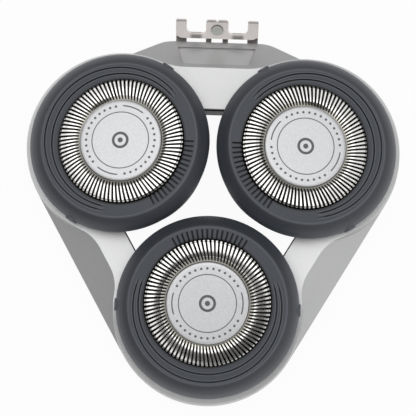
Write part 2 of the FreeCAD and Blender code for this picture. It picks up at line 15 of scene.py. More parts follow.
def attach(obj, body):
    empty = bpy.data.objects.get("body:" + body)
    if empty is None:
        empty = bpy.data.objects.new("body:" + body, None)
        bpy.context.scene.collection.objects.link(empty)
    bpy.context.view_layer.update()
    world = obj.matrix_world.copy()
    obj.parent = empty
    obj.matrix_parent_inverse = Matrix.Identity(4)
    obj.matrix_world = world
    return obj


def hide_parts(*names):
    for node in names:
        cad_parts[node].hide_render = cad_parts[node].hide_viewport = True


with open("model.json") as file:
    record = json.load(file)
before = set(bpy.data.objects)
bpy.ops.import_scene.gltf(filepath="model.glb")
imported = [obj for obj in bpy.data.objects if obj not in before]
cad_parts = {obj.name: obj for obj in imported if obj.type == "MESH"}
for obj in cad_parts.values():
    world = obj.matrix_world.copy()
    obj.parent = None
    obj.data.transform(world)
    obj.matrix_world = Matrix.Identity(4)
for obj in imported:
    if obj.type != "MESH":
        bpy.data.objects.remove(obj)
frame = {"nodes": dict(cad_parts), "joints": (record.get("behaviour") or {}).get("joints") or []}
nodes = frame["nodes"]
joints = {joint["name"]: joint for joint in frame["joints"]}
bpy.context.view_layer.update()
scene = bpy.context.scene
scene.view_settings.view_transform = "Standard"
MM = 0.001
SIDES = ("left", "right", "front")


def head_place(side):
    """Matrix from a head's own axes (x outward, z up its cap's axis) to the part's."""
    tilt = joints[side + "_tilt"]
    spin = joints[side + "_cutter_spin"]
    along_y = Vector(tilt["axis"]).normalized()
    along_z = Vector(spin["axis"]).normalized()
    along_x = along_y.cross(along_z)
    turn = Matrix((along_x, along_y, along_z)).transposed().to_4x4()
    return Matrix.Translation(Vector(spin["pos_m"])) @ turn


head_places = {side: head_place(side) for side in SIDES}
rim_height = joints["front_tilt"]["pos_m"][2]

# %% [markdown]
# The view is almost straight down from a long way off, so the lens is a long one. Its tilt
# and distance were found by fitting the outlines of the three rings. A camera is easiest to
# place by its own axes: right, up, and back towards the photographer.

# %% Camera
VIEW_PITCH = math.radians(-6.70)
VIEW_ROLL = math.radians(-0.47)
VIEW_TURN = math.radians(-1.98)
VIEW_DISTANCE = 350 * MM
VIEW_OFFSET = Vector((0.56, 1.50, 0)) * MM
VIEW_LENS = 172.6

view_axes = (
    Matrix.Rotation(VIEW_TURN, 3, "Z")
    @ Matrix.Rotation(VIEW_PITCH, 3, "X")
    @ Matrix.Rotation(VIEW_ROLL, 3, "Y")
)
camera_data = bpy.data.cameras.new("camera")
camera_data.lens = VIEW_LENS
camera_data.sensor_width = 36.0
camera_data.clip_start = 0.01
camera = bpy.data.objects.new("camera", camera_data)
scene.collection.objects.link(camera)
camera_spot = view_axes.transposed() @ (Vector((0, 0, VIEW_DISTANCE)) - VIEW_OFFSET)
camera.matrix_world = (
    Matrix.Translation(camera_spot + Vector((0, 0, rim_height)))
    @ view_axes.transposed().to_4x4()
)
scene.camera = camera
print("camera at", [round(value, 4) for value in camera.matrix_world.translation])

# %% [markdown]
# A finish is worked out by a small network of nodes. Written as plain sums it is much easier
# to read than as boxes and wires, so one class holds a socket and understands Python's
# arithmetic: every sum adds a Math node behind the scenes.

# %% A socket that can be used in sums
class Wire:
    def __init__(self, tree, socket=None):
        self.tree = tree
        self.socket = socket

    def add(self, kind, settings=None, inputs=None):
        """Add a node: settings first, then the values or links of its inputs."""
        made = self.tree.nodes.new(kind)
        for name, value in (settings or {}).items():
            setattr(made, name, value)
        for name, value in (inputs or {}).items():
            if isinstance(value, Wire):
                self.tree.links.new(value.socket, made.inputs[name])
            else:
                made.inputs[name].default_value = value
        return made

    def node(self, kind, settings=None, inputs=None, output=0):
        """Add a node and hold one of its outputs."""
        return Wire(self.tree, self.add(kind, settings, inputs).outputs[output])

    def math(self, operation, *values):
        return self.node("ShaderNodeMath", {"operation": operation}, dict(enumerate(values)))

    def __add__(self, other):
        return self.math("ADD", self, other)

    def __radd__(self, other):
        return self.math("ADD", other, self)

    def __sub__(self, other):
        return self.math("SUBTRACT", self, other)

    def __rsub__(self, other):
        return self.math("SUBTRACT", other, self)

    def __mul__(self, other):
        return self.math("MULTIPLY", self, other)

    def __rmul__(self, other):
        return self.math("MULTIPLY", other, self)

    def __truediv__(self, other):
        return self.math("DIVIDE", self, other)

    def __abs__(self):
        return self.math("ABSOLUTE", self)

    def __pow__(self, other):
        return self.math("POWER", self, other)

    def most(self, other):
        return self.math("MAXIMUM", self, other)

    def ramp(self, low, high):
        """0 below low, 1 above high, and smooth between them."""
        settings = {"interpolation_type": "SMOOTHSTEP"}
        inputs = {"Value": self, "From Min": low, "From Max": high}
        return self.node("ShaderNodeMapRange", settings, inputs)

    def split(self):
        """The three parts of a vector."""
        parts = self.add("ShaderNodeSeparateXYZ", None, {0: self}).outputs
        return [Wire(self.tree, part) for part in parts]

    def place(self):
        """The place on the part, in metres."""
        return self.node("ShaderNodeTexCoord", output="Object")

    def turned_to(self, axis):
        """How nearly the surface faces along an axis: 1 along it, 0 across it."""
        inputs = {0: self.node("ShaderNodeTexCoord", output="Normal"), 1: axis}
        return self.node("ShaderNodeVectorMath", {"operation": "DOT_PRODUCT"}, inputs, "Value")

    def on_part(self):
        """The three parts of the place on the part, in millimetres."""
        return [part / MM for part in self.place().split()]

    def on_head(self, side):
        """The place in a head's own axes, in millimetres."""
        matrix = head_places[side]
        inputs = {
            "Vector": self.place(),
            "Location": matrix.translation,
            "Rotation": matrix.to_euler(),
            "Scale": (MM, MM, MM),
        }
        return self.node("ShaderNodeMapping", {"vector_type": "TEXTURE"}, inputs)

    def noise(self, size, detail=2.0, place=None):
        """Soft mottling whose blobs are about the given size."""
        inputs = {"Scale": 1.0 / size, "Detail": detail, "Vector": place or self.place()}
        return self.node("ShaderNodeTexNoise", None, inputs)

    def mix(self, factor, first, second):
        """Blend two colours."""
        inputs = {0: factor, 6: first, 7: second}
        return self.node("ShaderNodeMix", {"data_type": "RGBA"}, inputs, 2)


print("sums understood: + - * / ** abs")

# %% [markdown]
# A finish starts from a recipe: a function that is handed a wire without a socket, called ink,
# and gives back the inputs of the shader. Most recipes need the same few helpers.

# %% Paint, and what most recipes need
def paint(name, recipe):
    """A finish from a recipe: a function that gives the shader's inputs as numbers or wires."""
    material = bpy.data.materials.new(name)
    material.use_nodes = True
    tree = material.node_tree
    shader = tree.nodes["Principled BSDF"]
    for socket, value in recipe(Wire(tree)).items():
        if isinstance(value, Wire):
            tree.links.new(value.socket, shader.inputs[socket])
        else:
            shader.inputs[socket].default_value = value
    return material


def tone(red, green, blue):
    return (red, green, blue, 1.0)


def drift(ink, dark, light, size):
    """A colour that wanders between two close shades."""
    return ink.mix(ink.noise(size * MM, 3.0), tone(*dark), tone(*light))


def band(distance, half, soft):
    """1 within half a width of a line, and fading outside it."""
    return 1.0 - abs(distance).ramp(half, half + soft)


def grain(ink, size, depth):
    """Bumps of the given size and depth, in millimetres."""
    height = ink.noise(size * MM, 3.0)
    return ink.node("ShaderNodeBump", None, {"Distance": depth * MM, "Height": height})


print("helpers: paint, tone, drift, band, grain")

# %% [markdown]
# The silver frame is a plastic moulding with a sprayed coat. Its tiny flakes break up the
# light, so it is half way between a metal and a paint. Its steep faces, the flat at the rear
# and the narrow rims round the rings are painted a little darker as painted shade, two fine
# painted shadow lines mark the sides of the shallow panel at the rear, and inside the panel
# most of that painted shade is taken back.

# %% Plastics
UP = Vector((0, 0, 1))
REAR = Vector((0, 1, 0))
# Corners of the shallow panel at the rear, as distances from the middle and along Y, in
# millimetres.
PANEL_FRONT = (6.00, 24.59)
PANEL_REAR = (6.95, 28.19)
PANEL_SLANT = (PANEL_REAR[0] - PANEL_FRONT[0]) / (PANEL_REAR[1] - PANEL_FRONT[1])
# Rim round a ring: its centre outward of the cap's axis, and its reach, in millimetres.
RIM_CENTRE = 1.1
RIM_REACH = 16.0
# How far each part of the silver coat is darkened by painted shade, out of 1. The lift takes
# most of the steep faces' painted shade back inside the panel.
STEEP_SHADE = 0.27
PANEL_LIFT = 0.22
RIM_SHADE = 0.25
REAR_FLAT_SHADE = 0.09
PANEL_LINE_SHADE = 0.18


def outer_rim(ink, side):
    """1 on the narrow rim that goes round the outward half of a ring."""
    x, y, _ = ink.on_head(side).split()
    reach = ((x - RIM_CENTRE) ** 2.0 + y * y) ** 0.5
    beyond = reach - RIM_REACH
    return beyond.ramp(-0.1, 0.2) * (1.0 - beyond.ramp(1.0, 1.4)) * (x / reach).ramp(0.0, 0.3)


def rear_panel(ink, x, y):
    """The panel's inside and its side edges, each as 1 there and 0 elsewhere."""
    beside = abs(x) - (PANEL_FRONT[0] + (y - PANEL_FRONT[1]) * PANEL_SLANT)
    from_front = (y - PANEL_FRONT[1]).ramp(-0.1, 0.3)
    to_rear = 1.0 - (y - PANEL_REAR[1]).ramp(-0.1, 0.1)
    span = from_front * to_rear
    inside = (1.0 - beside.ramp(-0.1, 0.4)) * span * ink.turned_to(REAR).ramp(0.3, 0.6)
    return inside, band(beside, 0.08, 0.25) * span


def satin_silver(ink):
    x, y, _ = ink.on_part()
    shaded_rims = outer_rim(ink, "left").most(outer_rim(ink, "right")).most(outer_rim(ink, "front"))
    in_panel, panel_side_shadows = rear_panel(ink, x, y)
    steep = 1.0 - ink.turned_to(UP).ramp(0.70, 0.95)
    shaded_rear_flat = (1.0 - steep) * y.ramp(13.0, 19.0)
    # Painted shade on the steep faces, the rims and the rear flat, and painted shadow lines at
    # the panel's sides.
    shade = (steep * (STEEP_SHADE - PANEL_LIFT * in_panel)).most(shaded_rims * RIM_SHADE)
    shade = shade.most(shaded_rear_flat * REAR_FLAT_SHADE) + panel_side_shadows * PANEL_LINE_SHADE
    coat = drift(ink, (0.655, 0.657, 0.66), (0.695, 0.697, 0.70), 1.2)
    return {
        "Base Color": ink.mix(shade, coat, tone(0.02, 0.02, 0.02)),
        "Roughness": 0.38 + 0.08 * ink.noise(0.3 * MM),
        "Metallic": 0.7,
        "Normal": grain(ink, 0.10, 0.003),
    }


def black_plastic(ink):
    return {
        "Base Color": drift(ink, (0.006, 0.006, 0.007), (0.010, 0.010, 0.011), 1.5),
        "Roughness": 0.50 + 0.12 * ink.noise(0.4 * MM),
        "Normal": grain(ink, 0.15, 0.006),
    }


def grey_plastic(ink):
    return {
        "Base Color": drift(ink, (0.10, 0.10, 0.105), (0.13, 0.13, 0.135), 1.0),
        "Roughness": 0.45 + 0.10 * ink.noise(0.4 * MM),
        "Normal": grain(ink, 0.15, 0.005),
    }


silver_coat = paint("satin silver coat", satin_silver)
dark_plastic = paint("black plastic", black_plastic)
inner_plastic = paint("grey inner plastic", grey_plastic)
print("plastics mixed")

# %% [markdown]
# Bare metals take their colour from what they mirror, so only their roughness and a slight
# tint need care; the blades are painted nearly black as painted shade. The hinge is plated
# with warm nickel and carries faint rubbing marks. Its strip, its legs and its upper edges are
# painted darker than its broad faces as painted shade, and so are the sides of the rivet's head.

# %% Metals
RIVET_TILT = math.radians(47.0)
RIVET_AXIS = Vector((0, -math.sin(RIVET_TILT), math.cos(RIVET_TILT)))
# Middle of the bracket's strip to either side, and the heights between which the painted shade
# of its strip, legs and upper edges fades, in millimetres.
STRIP_MIDDLE = 3.75
STRIP_FADE = (5.95, 6.45)
LEG_FADE = (4.90, 5.45)
EDGE_FADE = (8.12, 8.30)


def plain_steel(ink):
    return {
        "Base Color": drift(ink, (0.50, 0.50, 0.50), (0.58, 0.58, 0.575), 1.0),
        "Roughness": 0.22 + 0.12 * ink.noise(0.3 * MM),
        "Metallic": 1.0,
    }


def dark_steel(ink):
    return {
        # Painted shade: the blades are nearly black because they lie in shade under the slots.
        "Base Color": drift(ink, (0.035, 0.034, 0.032), (0.055, 0.053, 0.050), 0.6),
        "Roughness": 0.40 + 0.12 * ink.noise(0.3 * MM),
        "Metallic": 1.0,
    }


def warm_nickel(ink):
    scratches = ink.node("ShaderNodeMapping", None, {
        "Vector": ink.place(),
        "Scale": (1.0, 0.08, 0.2),
    })
    rubbed = ink.noise(0.12 * MM, 2.0, scratches)
    x, _, z = ink.on_part()
    # Painted shade: the strip, the legs and the upper edges are darker than the broad faces.
    strip = band(abs(x) - STRIP_MIDDLE, 0.60, 0.80) * (1.0 - z.ramp(*STRIP_FADE))
    legs = 1.0 - z.ramp(*LEG_FADE)
    top_edges = z.ramp(*EDGE_FADE)
    shade = (strip * 0.75).most(legs * 0.85).most(top_edges * 0.55)
    plating = drift(ink, (0.88, 0.81, 0.79), (1.0, 0.95, 0.93), 0.8)
    return {
        "Base Color": ink.mix(shade, plating, tone(0.09, 0.08, 0.07)),
        "Roughness": 0.24 + 0.22 * rubbed,
        "Metallic": 0.1,
        "Coat Weight": 0.2,
        "Normal": ink.node("ShaderNodeBump", None, {"Distance": 0.002 * MM, "Height": rubbed}),
    }


def rivet_steel(ink):
    # Painted shade: the sides of the rivet's head are dark and its face is bright.
    face = ink.turned_to(RIVET_AXIS).ramp(0.75, 0.95)
    bright = drift(ink, (0.56, 0.58, 0.55), (0.64, 0.66, 0.63), 0.5)
    return {
        "Base Color": ink.mix(face, tone(0.05, 0.05, 0.048), bright),
        "Roughness": 0.34 + 0.10 * ink.noise(0.2 * MM),
        "Metallic": 0.4,
    }


pin_steel = paint("pin steel", plain_steel)
blade_steel = paint("blade steel", dark_steel)
nickel = paint("warm nickel plating", warm_nickel)
rivet_paint = paint("rivet steel", rivet_steel)
print("metals mixed")

# %% [markdown]
# A solid from the computer has edges as sharp as a knife, and no real edge is. A bevel of a
# tenth of a millimetre or less catches the thin line of light that makes a moulding look
# moulded. Each copy is first cleaned: doubled corners are merged, and the triangles of a flat
# face are put together again.

# %% Softened copies of the solids
EDGE_ANGLE = 32.0


def finish_mesh(mesh, smooth_angle=EDGE_ANGLE):
    """Smooth shading that keeps the edges sharper than the given angle."""
    mesh.shade_smooth()
    mesh.set_sharp_from_angle(angle=math.radians(smooth_angle))


def softened(node, width, segments=2):
    """A copy of a solid with its sharp edges rounded off by the given width, in millimetres."""
    mesh = nodes[node].data.copy()
    shape = bmesh.new()
    shape.from_mesh(mesh)
    bmesh.ops.remove_doubles(shape, verts=shape.verts, dist=0.001 * MM)
    flat = math.radians(0.3)
    bmesh.ops.dissolve_limit(shape, verts=shape.verts, edges=shape.edges, angle_limit=flat)
    shape.to_mesh(mesh)
    shape.free()
    finish_mesh(mesh)
    piece = bpy.data.objects.new(node + "_soft", mesh)
    scene.collection.objects.link(piece)
    bevel = piece.modifiers.new("edge", "BEVEL")
    bevel.width = width * MM
    bevel.segments = segments
    bevel.limit_method = "ANGLE"
    bevel.angle_limit = math.radians(EDGE_ANGLE)
    bevel.miter_outer = "MITER_ARC"
    shading = piece.modifiers.new("shading", "WEIGHTED_NORMAL")
    shading.keep_sharp = True
    return piece


def dressed(piece, finish, body, slot, *replaced):
    """Paint a piece, fix it to its body and let it stand for its solids."""
    piece.data.materials.clear()
    piece.data.materials.append(finish)
    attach(piece, body)
    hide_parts(*replaced)


for name, edge, finish, body, slot in (
    ("frame_plate", 0.10, silver_coat, "frame", "silver_frame"),
    ("hinge_bracket", 0.06, nickel, "hinge", "hinge_nickel"),
    ("hinge_rivet", 0.05, rivet_paint, "hinge", "hinge_nickel"),
):
    piece = softened(name, edge)
    dressed(piece, finish, body, slot, name)
    print(name, "has", len(piece.data.polygons), "faces before its bevel")

# %% [markdown]
# The ring round each cap is dark plastic. It slopes gently down to a crease and then falls
# away. On its outward half two fine grooves run along it, and on its inward side a row of
# short notches points at the cap. The crease, the lips of the grooves and the foot of the
# slope carry painted highlights, and the band below the crease, the grooves, the notches,
# the low hollows and the inner edge carry painted shade.

# %% Rings
# Circles on a ring: the centre outward of the cap's axis, and the reach, in millimetres.
CREASE = (0.55, 13.75)
INNER_GROOVE = (0.40, 11.98)
OUTER_GROOVE = (0.90, 12.86)
GROOVE_LIP = 0.22
NOTCH_COUNT = 16
NOTCH_PITCH = math.radians(4.05)
NOTCH_HALF = 0.17
NOTCH_END = 12.78
# Distance from the axis over which the painted shade of the inner edge fades, and height over
# which that of the bottoms of the grooves does.
EDGE_END = (11.30, 11.50)
HOLLOW_TOP = (3.36, 3.50)


def notches(ink, x, y, radius):
    """1 in the row of notches on the inward side of a ring."""
    inward_angle = ink.math("ARCTAN2", y, 0.0 - x)
    # Half a pitch puts a rib in the middle of the row. The forty keep the angle positive.
    counted = inward_angle + NOTCH_PITCH * 40.5
    from_notch = ink.math("PINGPONG", counted, NOTCH_PITCH / 2) * radius
    row_half = NOTCH_PITCH * NOTCH_COUNT / 2
    in_row = 1.0 - abs(inward_angle).ramp(row_half, row_half + NOTCH_PITCH * 0.1)
    inside_end = 1.0 - radius.ramp(NOTCH_END, NOTCH_END + 0.10)
    return band(from_notch, NOTCH_HALF, 0.07) * (in_row * inside_end)


def ring_grey(side):
    def recipe(ink):
        x, y, z = ink.on_head(side).split()

        def from_circle(circle):
            centre, reach = circle
            return ((x - centre) ** 2.0 + y * y) ** 0.5 - reach

        radius = (x * x + y * y) ** 0.5
        crease = from_circle(CREASE)
        inner = from_circle(INNER_GROOVE)
        outer = from_circle(OUTER_GROOVE)
        outward = (x / radius).ramp(-0.33, -0.29)
        lips = band(abs(inner) - GROOVE_LIP, 0.04, 0.06)
        lips = lips.most(band(abs(outer) - GROOVE_LIP, 0.04, 0.06)) * outward
        sunk = band(inner, 0.12, 0.05).most(band(outer, 0.12, 0.05)) * outward
        hollow = (1.0 - z.ramp(*HOLLOW_TOP)) * (1.0 - crease.ramp(-0.4, -0.2))
        hollow = hollow.most(notches(ink, x, y, radius))
        inner_edge = 1.0 - radius.ramp(*EDGE_END)
        foot = crease.ramp(1.5, 2.2)
        # Painted highlights on the crease, the lips of the grooves and the foot of the slope.
        light = (band(crease, 0.05, 0.20) * 0.6).most(lips * 0.7).most(foot * 0.5)
        # Painted shade below the crease, in the grooves, notches and low hollows, and at the
        # inner edge.
        below_crease = crease.ramp(0.15, 0.35) * (1.0 - crease.ramp(0.7, 1.5))
        ring_shade = (below_crease * 0.45).most(sunk * 0.80)
        ring_shade = ring_shade.most(hollow * 0.65).most(inner_edge * 0.80)
        plain = drift(ink, (0.049, 0.055, 0.067), (0.057, 0.063, 0.076), 2.0)
        highlit_plastic = ink.mix(light, plain, tone(0.12, 0.127, 0.145))
        return {
            "Base Color": ink.mix(ring_shade, highlit_plastic, tone(0.011, 0.012, 0.016)),
            "Roughness": 0.48 + 0.10 * ink.noise(0.4 * MM),
            "Normal": grain(ink, 0.12, 0.004),
        }
    return paint(side + " ring plastic", recipe)


for side in SIDES:
    name = side + "_ring"
    dressed(softened(name, 0.06), ring_grey(side), side + "_head", "ring_grey", name)
print("rings:", len(SIDES))

# %% [markdown]
# The cap is pressed from thin steel. A nearly flat track runs round it, cut by ninety slanted
# slots, and what is left between the slots are narrow bars that bend down over the outer edge.
# The bars are one shape repeated, so one bar is modelled and Geometry Nodes set out the rest.

# %% Sizes of the cap, in millimetres from its own axis
BAR_COUNT = 90
BAR_PITCH = 2 * math.pi / BAR_COUNT
BAR_CHAMFER = 0.035
BAR_SLANT = math.radians(10.0)
TRACK_TOP = 4.43
RIM_INNER = 7.20
RIM_FOOT = 3.98
SLOT_START = 7.45
SLOPE_END = 8.05
FLAT_START = 8.20
FLAT_END = 10.60
CAP_RADIUS = 11.02
SHEET = 0.36
BAR_DEPTH = 0.30
SLOT_FLOOR = 2.95
INNER_CROWN = math.radians(-6.0)
OUTER_CROWN = math.radians(9.0)
CROWN_STEPS = 6
STEP_RADIUS = 10.65
# Width of a slot at three distances from the axis.
GAPS = ((SLOT_START, 0.20), (SLOPE_END, 0.30), (CAP_RADIUS, 0.37))
# A bar's end beyond its flat: distance from the axis, drop below the flat's end, tilt in
# degrees. It steps down, carries a small bead and then bends into the outer wall.
BAR_END = (
    (STEP_RADIUS, 0.10, 60), (10.70, 0.13, 20), (10.83, 0.16, 10),
    (10.92, 0.21, 35), (10.99, 0.38, 70), (CAP_RADIUS, 0.56, 90),
)


def bar_heading(radius):
    """Angle round the cap of a slanted line that starts at the slots' inner ends."""
    return BAR_SLANT - math.asin(SLOT_START * math.sin(BAR_SLANT) / radius)


def track_profile():
    """Stations of a bar's upper side as (radius, height, outward tilt)."""
    slope = math.atan2(TRACK_TOP - RIM_FOOT, SLOPE_END - RIM_INNER)
    stations = []
    for radius in (SLOT_START - 0.02, SLOPE_END):
        height = RIM_FOOT + (radius - RIM_INNER) * math.tan(slope)
        stations.append((radius, height, -slope))
    for k in range(CROWN_STEPS + 1):
        share = k / CROWN_STEPS
        tilt = INNER_CROWN + (OUTER_CROWN - INNER_CROWN) * share
        if k:
            height -= (FLAT_END - FLAT_START) / CROWN_STEPS * math.tan(tilt)
        stations.append((FLAT_START + (FLAT_END - FLAT_START) * share, height + 0.02, tilt))
    for radius, drop, angle in BAR_END:
        stations.append((radius, height - drop, math.radians(angle)))
    stations.append((CAP_RADIUS, SLOT_FLOOR - 0.05, math.pi / 2))
    return stations


def gap_at(radius):
    """Width of a slot at a distance from the axis."""
    for (near, first), (far, second) in zip(GAPS, GAPS[1:]):
        if radius <= far:
            share = max(0.0, (radius - near) / (far - near))
            return first + (second - first) * share
    return GAPS[-1][1]


stations = track_profile()
print("stations along a bar:", len(stations))

# %% [markdown]
# A bar is a row of six-sided sections, one at each station. Four corners make its top with a
# small chamfer along each edge, and two make its underside.

# %% One bar
def bar_mesh():
    """A bar along +X: flat top with two small edge chamfers, sides and underside."""
    shape = bmesh.new()
    loops = []
    for radius, height, tilt in stations:
        half = BAR_PITCH * radius / 2 - gap_at(radius) / 2
        heading = bar_heading(max(radius, SLOT_START))
        loop = []
        for offset, depth in (
            (-half, BAR_DEPTH), (-half, BAR_CHAMFER), (BAR_CHAMFER - half, 0.0),
            (half - BAR_CHAMFER, 0.0), (half, BAR_CHAMFER), (half, BAR_DEPTH),
        ):
            reach = radius - depth * math.sin(tilt)
            level = height - depth * math.cos(tilt)
            angle = heading + offset / radius
            loop.append(shape.verts.new((
                reach * math.cos(angle) * MM,
                reach * math.sin(angle) * MM,
                level * MM,
            )))
        loops.append(loop)
    corners = len(loops[0])
    for first, second in zip(loops, loops[1:]):
        for k in range(corners):
            after = (k + 1) % corners
            shape.faces.new((first[k], second[k], second[after], first[after]))
    shape.faces.new(loops[0])
    shape.faces.new(reversed(loops[-1]))
    bmesh.ops.recalc_face_normals(shape, faces=shape.faces)
    mesh = bpy.data.meshes.new("bar")
    shape.to_mesh(mesh)
    shape.free()
    return mesh


one_bar = bar_mesh()
print("faces in one bar:", len(one_bar.polygons))

# %% [markdown]
# Geometry Nodes work on a mesh as it passes through. This tree makes one point for each copy,
# turns a copy to its own angle at each point, and hands the lot back as a plain mesh.

# %% A tree that sets out copies in a circle
def circle_tree():
    """Geometry Nodes that turn copies of a mesh round the Z axis."""
    tree = bpy.data.node_groups.new("copies in a circle", "GeometryNodeTree")
    wanted = (
        ("Geometry", "NodeSocketGeometry"),
        ("Count", "NodeSocketInt"),
        ("Spacing", "NodeSocketFloat"),
        ("Start", "NodeSocketFloat"),
        ("Finish", "NodeSocketMaterial"),
    )
    sockets = {
        name: tree.interface.new_socket(name, in_out="INPUT", socket_type=kind).identifier
        for name, kind in wanted
    }
    tree.interface.new_socket("Geometry", in_out="OUTPUT", socket_type="NodeSocketGeometry")
    wire = Wire(tree)
    outputs = wire.add("NodeGroupInput").outputs
    given = {name: Wire(tree, outputs[name]) for name in sockets}
    points = wire.node("GeometryNodePoints", None, {"Count": given["Count"]})
    index = wire.node("GeometryNodeInputIndex")
    angle = index * given["Spacing"] + given["Start"]
    copies = wire.node("GeometryNodeInstanceOnPoints", None, {
        "Points": points,
        "Instance": given["Geometry"],
        "Rotation": wire.node("ShaderNodeCombineXYZ", None, {"Z": angle}),
    })
    real = wire.node("GeometryNodeRealizeInstances", None, {"Geometry": copies})
    painted = wire.node("GeometryNodeSetMaterial", None, {
        "Geometry": real,
        "Material": given["Finish"],
    })
    wire.add("NodeGroupOutput", None, {"Geometry": painted})
    return tree, sockets


copy_tree, copy_sockets = circle_tree()


def copies_in_circle(mesh, count, spacing, start, finish):
    """The plain mesh of all copies."""
    carrier = bpy.data.objects.new("carrier", mesh)
    scene.collection.objects.link(carrier)
    modifier = carrier.modifiers.new("copies", "NODES")
    modifier.node_group = copy_tree
    modifier[copy_sockets["Count"]] = count
    modifier[copy_sockets["Spacing"]] = spacing
    modifier[copy_sockets["Start"]] = start
    modifier[copy_sockets["Finish"]] = finish
    evaluated = carrier.evaluated_get(bpy.context.evaluated_depsgraph_get())
    result = bpy.data.meshes.new_from_object(evaluated)
    bpy.data.objects.remove(carrier)
    return result


print("inputs of the tree:", ", ".join(copy_sockets))

# %% [markdown]
# Inside the slots little light gets in, so the steel there is painted dark as painted shade.
# The finish looks at which way the surface faces and how high it lies. The bars' tops are
# ground bright, and their sides and all that lies low are painted dark as shade. The slope
# at the inner rim and the step before each bead are painted darker as shade, and the beads
# are toned a little darker than the flat.

# %% Cap steel
# Height over which the painted shade of the slots turns into the bright skin, in millimetres.
SKIN_FOOT = (3.70, 3.80)


def cap_steel(side):
    def recipe(ink):
        x, y, z = ink.on_head(side).split()
        radius = (x * x + y * y) ** 0.5
        # Painted shade: the sides and all that lies low go dark, and the step before each bead
        # gets a dark line.
        step = band(radius - STEP_RADIUS, 0.02, 0.04)
        facing_out = ink.turned_to(head_places[side].to_3x3() @ UP)
        bright = facing_out.ramp(0.25, 0.55) * z.ramp(*SKIN_FOOT) * (1.0 - 0.7 * step)
        # The slope at the inner rim is painted darker as shade; the beads are toned a little
        # darker.
        beyond_shaded_slope = radius.ramp(SLOPE_END - 0.10, SLOPE_END + 0.06)
        bead = radius.ramp(STEP_RADIUS, STEP_RADIUS + 0.07)
        ground = ink.mix(bead, tone(0.86, 0.85, 0.83), tone(0.72, 0.71, 0.68))
        skin = ink.mix(beyond_shaded_slope, tone(0.58, 0.56, 0.51), ground)
        across_rings = ink.node("ShaderNodeCombineXYZ", None, {"X": radius})
        turned = ink.noise(0.10, 2.0, across_rings)
        return {
            "Base Color": ink.mix(bright, tone(0.015, 0.015, 0.015), skin),
            "Roughness": 0.55 - bright * (0.46 - 0.08 * turned),
            "Metallic": 1.0,
        }
    return paint(side + " cap steel", recipe)


cap_paints = {side: cap_steel(side) for side in SIDES}
print("cap finishes:", len(cap_paints))

# %% [markdown]
# Everything else on the cap is round, so it is spun: one outline, walked round the axis. The
# inner rim rolls over into the well that holds the disc, and the outer wall ends in the
# flange by which the cap sits in its ring.

# %% Spinning outlines
def spun_mesh(name, outline, steps=180):
    """Turn a closed outline of (radius, height) points about the Z axis."""
    shape = bmesh.new()
    rows = []
    for k in range(steps):
        angle = 2 * math.pi * k / steps
        rows.append([
            shape.verts.new((
                radius * math.cos(angle) * MM,
                radius * math.sin(angle) * MM,
                height * MM,
            ))
            for radius, height in outline
        ])
    for k in range(steps):
        near = rows[k]
        far = rows[(k + 1) % steps]
        for j in range(len(outline)):
            after = (j + 1) % len(outline)
            shape.faces.new((near[j], far[j], far[after], near[after]))
    bmesh.ops.remove_doubles(shape, verts=shape.verts, dist=0.0005 * MM)
    bmesh.ops.recalc_face_normals(shape, faces=shape.faces)
    mesh = bpy.data.meshes.new(name)
    shape.to_mesh(mesh)
    shape.free()
    return mesh


WELL_TOP = 3.65
WELL_HOLE = 0.6
FLANGE_TOP = 2.80
FLANGE_RADIUS = 11.60
rim_outline = [
    (SLOT_START, stations[0][1] + 0.01),
    (RIM_INNER + 0.03, RIM_FOOT + 0.02),
    (RIM_INNER, RIM_FOOT - 0.03),
    (RIM_INNER, WELL_TOP),
    (WELL_HOLE, WELL_TOP),
    (WELL_HOLE, WELL_TOP - SHEET),
    (SLOT_START, WELL_TOP - SHEET),
]
wall_outline = [
    (CAP_RADIUS, SLOT_FLOOR),
    (CAP_RADIUS, FLANGE_TOP),
    (FLANGE_RADIUS, FLANGE_TOP),
    (FLANGE_RADIUS, FLANGE_TOP - SHEET),
    (CAP_RADIUS - SHEET, FLANGE_TOP - SHEET),
    (CAP_RADIUS - SHEET, SLOT_FLOOR),
]
print("corners in the outlines:", len(rim_outline), "and", len(wall_outline))

# %% [markdown]
# A cap is its bars, its rim and its wall in one mesh. It is made in the cap's own axes and
# then carried to its place on the part.

# %% Caps
def cap_mesh(finish):
    """All bars, the inner rim and the outer wall as one mesh in the cap's own axes."""
    shape = bmesh.new()
    bars = copies_in_circle(one_bar, BAR_COUNT, BAR_PITCH, BAR_PITCH / 2, finish)
    for part in (bars, spun_mesh("rim", rim_outline), spun_mesh("wall", wall_outline)):
        shape.from_mesh(part)
    mesh = bpy.data.meshes.new("cap")
    shape.to_mesh(mesh)
    shape.free()
    finish_mesh(mesh, smooth_angle=28.0)
    return mesh


for side in SIDES:
    mesh = cap_mesh(cap_paints[side])
    mesh.transform(head_places[side])
    cap = bpy.data.objects.new(side + "_cap_bars", mesh)
    scene.collection.objects.link(cap)
    dressed(cap, cap_paints[side], side + "_head", "cap_steel", side + "_cap")
print("faces in a cap:", len(mesh.polygons))

# %% [markdown]
# The disc in the middle of each cap is a stamped silver cover. It carries a thin printed
# circle, two short arcs, two rows of dots between them and a small ring in the middle. Print
# has no thickness, so it is drawn by the finish: distances from the centre and angles round
# it give the lines.

# %% Print on the discs
# Direction of the arcs of each disc, in degrees round the part's Z axis.
ARC_TURNS = {"left": 70.0, "right": -25.0, "front": 2.0}
# Print on a disc: distances from its centre and radii, in millimetres.
CIRCLE_RADIUS = 5.0
ARC_RADIUS = 6.13
DOT_ROW_RADIUS = 6.05
DOT_RADIUS = 0.19
DOT_STEP = math.radians(10.0)
CENTRE_RING = 1.25
CENTRE_DOT = 0.42


